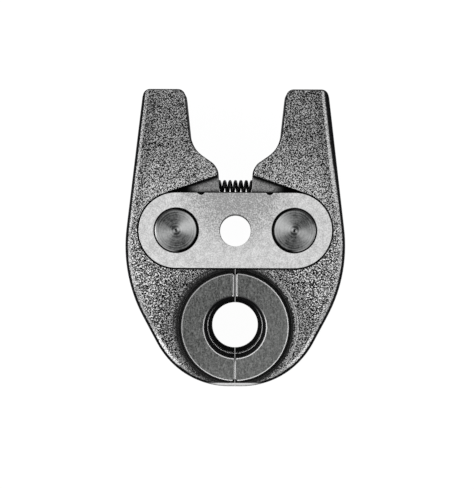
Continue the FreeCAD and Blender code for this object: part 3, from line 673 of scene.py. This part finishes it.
def spring_tree(material):
    """Build a tree that winds half a spring from the middle plane outwards along X."""
    tree = bpy.data.node_groups.new("half_spring", "GeometryNodeTree")
    for name, size in SPRING_SIZES.items():
        socket = tree.interface.new_socket(name, in_out="INPUT", socket_type="NodeSocketFloat")
        socket.default_value = size
    turn = tree.interface.new_socket("turned about Y", in_out="INPUT", socket_type="NodeSocketFloat")
    tree.interface.new_socket("Geometry", in_out="OUTPUT", socket_type="NodeSocketGeometry")
    given = add_node(tree, "NodeGroupInput").outputs
    turns = add_node(tree, "ShaderNodeMath", [given["half length"], given["pitch"]], operation="DIVIDE")
    path = add_node(tree, "GeometryNodeCurveSpiral", {
        "Resolution": STEPS_PER_TURN, "Rotations": turns.outputs[0], "Start Radius": given["coil radius"],
        "End Radius": given["coil radius"], "Height": given["half length"]})
    section = add_node(tree, "GeometryNodeCurvePrimitiveCircle", {"Resolution": WIRE_SIDES,
                                                                  "Radius": given["wire radius"]})
    wire = add_node(tree, "GeometryNodeCurveToMesh", {0: path.outputs[0], 1: section.outputs[0],
                                                      "Fill Caps": True})
    # the spiral stands on Z: a quarter turn sets its start, and another one lays it along X
    quarter = math.pi / 2
    started = add_node(tree, "GeometryNodeTransform", {0: wire.outputs[0], "Rotation": (0.0, 0.0, quarter)})
    laid = add_node(tree, "GeometryNodeTransform", {0: started.outputs[0], "Rotation": (0.0, quarter, 0.0)})
    spin = add_node(tree, "ShaderNodeCombineXYZ", {1: given["turned about Y"]})
    turned = add_node(tree, "GeometryNodeTransform", {0: laid.outputs[0], "Translation": SPRING_AXIS,
                                                      "Rotation": spin.outputs[0]})
    smooth = add_node(tree, "GeometryNodeSetShadeSmooth", {0: turned.outputs[0]})
    real = add_node(tree, "GeometryNodeRealizeInstances", {0: smooth.outputs[0]})
    dressed = add_node(tree, "GeometryNodeSetMaterial", {0: real.outputs[0], "Material": material})
    add_node(tree, "NodeGroupOutput", {0: dressed.outputs[0]})
    return tree, turn.identifier


def make_plain(name, tree, settings):
    """Run a Geometry Nodes tree once and keep its result as a plain mesh object at the origin."""
    carrier = bpy.data.objects.new(name, bpy.data.meshes.new(name + "_seed"))
    bpy.context.scene.collection.objects.link(carrier)
    modifier = carrier.modifiers.new("wind", "NODES")
    modifier.node_group = tree
    for identifier, setting in settings.items():
        modifier[identifier] = setting
    bpy.context.view_layer.update()
    made = bpy.data.meshes.new_from_object(carrier.evaluated_get(bpy.context.evaluated_depsgraph_get()))
    carrier.modifiers.remove(modifier)
    carrier.data = made
    return carrier


half_spring, turn_input = spring_tree(spring_steel)
spring_halves = {
    "left": make_plain("spring_half_left", half_spring, {turn_input: math.pi}),
    "right": make_plain("spring_half_right", half_spring, {turn_input: 0.0}),
}
for half in spring_halves.values():
    reach = [vertex.co.x / MM for vertex in half.data.vertices]
    print(half.name, len(half.data.polygons), "faces of", half.data.materials[0].name,
          "from x =", min(reach), "to", max(reach), "mm")

# %% [markdown]
# ## Let the spring move
#
# When the levers swing apart at the bore, their upper arms close on the spring. Each half
# rides on its lever and is squeezed towards its seat, so the halves stay joined in the
# middle and the spring bows a little, as a real one does between two turning seats.

# %% Ride the spring on the levers
for side, name in ((-1, "left"), (1, "right")):
    half = spring_halves[name]
    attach(half, f"{name}_lever")
    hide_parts("closing_spring")
    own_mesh(half)

# %% [markdown]
# ## The floor
#
# The part lies on the rear face of its boss on a pale floor. The floor shows white to the
# camera and in the metal's gloss, and still takes a soft shadow. A brighter lamp would
# make it white too, but would bleach the metal with it.

# %% Pale floor
FLOOR = cad_bounds[0][2]
FLOOR_HALF = 1.5


def looked_at(tree):
    """Give 1 for rays from the camera and for those that gloss or glass sends on, and 0 for lighting."""
    ray = add_node(tree, "ShaderNodeLightPath").outputs
    return any_of(tree, ray["Is Camera Ray"], ray["Is Glossy Ray"], ray["Is Transmission Ray"])


def floor_finish():
    """Make a matt floor that looks white to the camera and in reflections."""
    material = new_material("white_studio_paper")
    tree = material.node_tree
    paper = add_node(tree, "ShaderNodeBsdfDiffuse", {"Color": linear("D8D8D8")})
    dim = add_node(tree, "ShaderNodeBsdfDiffuse", {"Color": linear("464646")})
    glow = add_node(tree, "ShaderNodeEmission", {"Color": linear("FFFFFF"), "Strength": 0.975})
    lifted = add_node(tree, "ShaderNodeAddShader", [dim.outputs[0], glow.outputs[0]])
    both = add_node(tree, "ShaderNodeMixShader", [looked_at(tree), paper.outputs[0], lifted.outputs[0]])
    add_node(tree, "ShaderNodeOutputMaterial", [both.outputs[0]])
    return material


corners = [(x * FLOOR_HALF, y * FLOOR_HALF, FLOOR) for x, y in ((-1, -1), (1, -1), (1, 1), (-1, 1))]
floor_mesh = bpy.data.meshes.new("floor")
floor_mesh.from_pydata(corners, [], [(0, 1, 2, 3)])
floor_mesh.materials.append(floor_finish())
floor = bpy.data.objects.new("floor", floor_mesh)
bpy.context.scene.collection.objects.link(floor)
print("floor at z =", FLOOR / MM, "mm")

# %% [markdown]
# ## The sky
#
# The world fills in evenly from all round. Metal shows what stands round it, so a black flag
# on the right, such as hangs beside shiny things in a studio, keeps the right side of
# every edge dark. It is drawn into the world as a darker patch.

# %% World with a black flag
SKY_FILL = 0.55
FLAG_SHADE = 0.12

world = bpy.data.worlds.new("studio")
bpy.context.scene.world = world
world.use_nodes = True
sky = world.node_tree
sky.nodes.clear()
fill = add_node(sky, "ShaderNodeBackground", {"Color": linear("FFFFFF"), "Strength": SKY_FILL})
way = add_node(sky, "ShaderNodeTexCoord").outputs["Generated"]
to_the_right = zone(sky, add_node(sky, "ShaderNodeSeparateXYZ", [way]).outputs[0], (0.65, 0.95))
beside_flag = weigh(sky, 1.0, (to_the_right, FLAG_SHADE - 1.0))
white = add_node(sky, "ShaderNodeBackground", {"Color": linear("FFFFFF"), "Strength": beside_flag})
both = add_node(sky, "ShaderNodeMixShader", [looked_at(sky), fill.outputs[0], white.outputs[0]])
add_node(sky, "ShaderNodeOutputWorld", [both.outputs[0]])
print("sky fills with", SKY_FILL)

# %% [markdown]
# ## Softboxes
#
# Two long lamps stand at the sides, as softboxes do beside a copy stand. The left one is
# the stronger, which gives the round edges a bright side.

# %% Softboxes
BOX_WIDE, BOX_HIGH = 0.5, 0.9
BOX_SPOT = (0.75, 0.0, 0.40)


def softbox(name, side, power):
    """Hang an area lamp on one side and turn it to the part; side is -1 on the left and 1 on the right."""
    data = bpy.data.lights.new(name, "AREA")
    data.shape = "RECTANGLE"
    data.size = BOX_WIDE
    data.size_y = BOX_HIGH
    data.energy = power
    lamp = bpy.data.objects.new(name, data)
    bpy.context.scene.collection.objects.link(lamp)
    spot = Vector((side * BOX_SPOT[0], BOX_SPOT[1], BOX_SPOT[2]))
    lamp.matrix_world = Matrix.Translation(spot) @ spot.to_track_quat("Z", "Y").to_matrix().to_4x4()
    print(name, "gives", power, "W")


softbox("left_softbox", -1, 5.5)
softbox("right_softbox", 1, 2.0)

# %% [markdown]
# ## Camera
#
# The photograph looks straight down on the part from about half a metre above its boss,
# so the walls of the bore and of the prongs show a little perspective. Its frame is 474
# by 489 pixels, and its lens is as long as 1432 of them.

# %% Camera
FRAME_WIDE, FRAME_HIGH = 474, 489
FOCAL_PIXELS = 1432
SENSOR = 36.0
CAMERA_SPOT = (0.65 * MM, -5.25 * MM, 546.5 * MM)
CAMERA_ROLL = math.radians(0.2)

camera_data = bpy.data.cameras.new("copy_stand")
camera_data.sensor_fit = "VERTICAL"
camera_data.sensor_height = SENSOR
camera_data.sensor_width = SENSOR * FRAME_WIDE / FRAME_HIGH
camera_data.lens = FOCAL_PIXELS / FRAME_HIGH * SENSOR
camera = bpy.data.objects.new("copy_stand", camera_data)
camera.location = CAMERA_SPOT
camera.rotation_euler = (0.0, 0.0, CAMERA_ROLL)
bpy.context.scene.collection.objects.link(camera)
bpy.context.scene.camera = camera
bpy.context.scene.view_settings.view_transform = "Standard"
print("lens", round(camera_data.lens, 1), "mm")
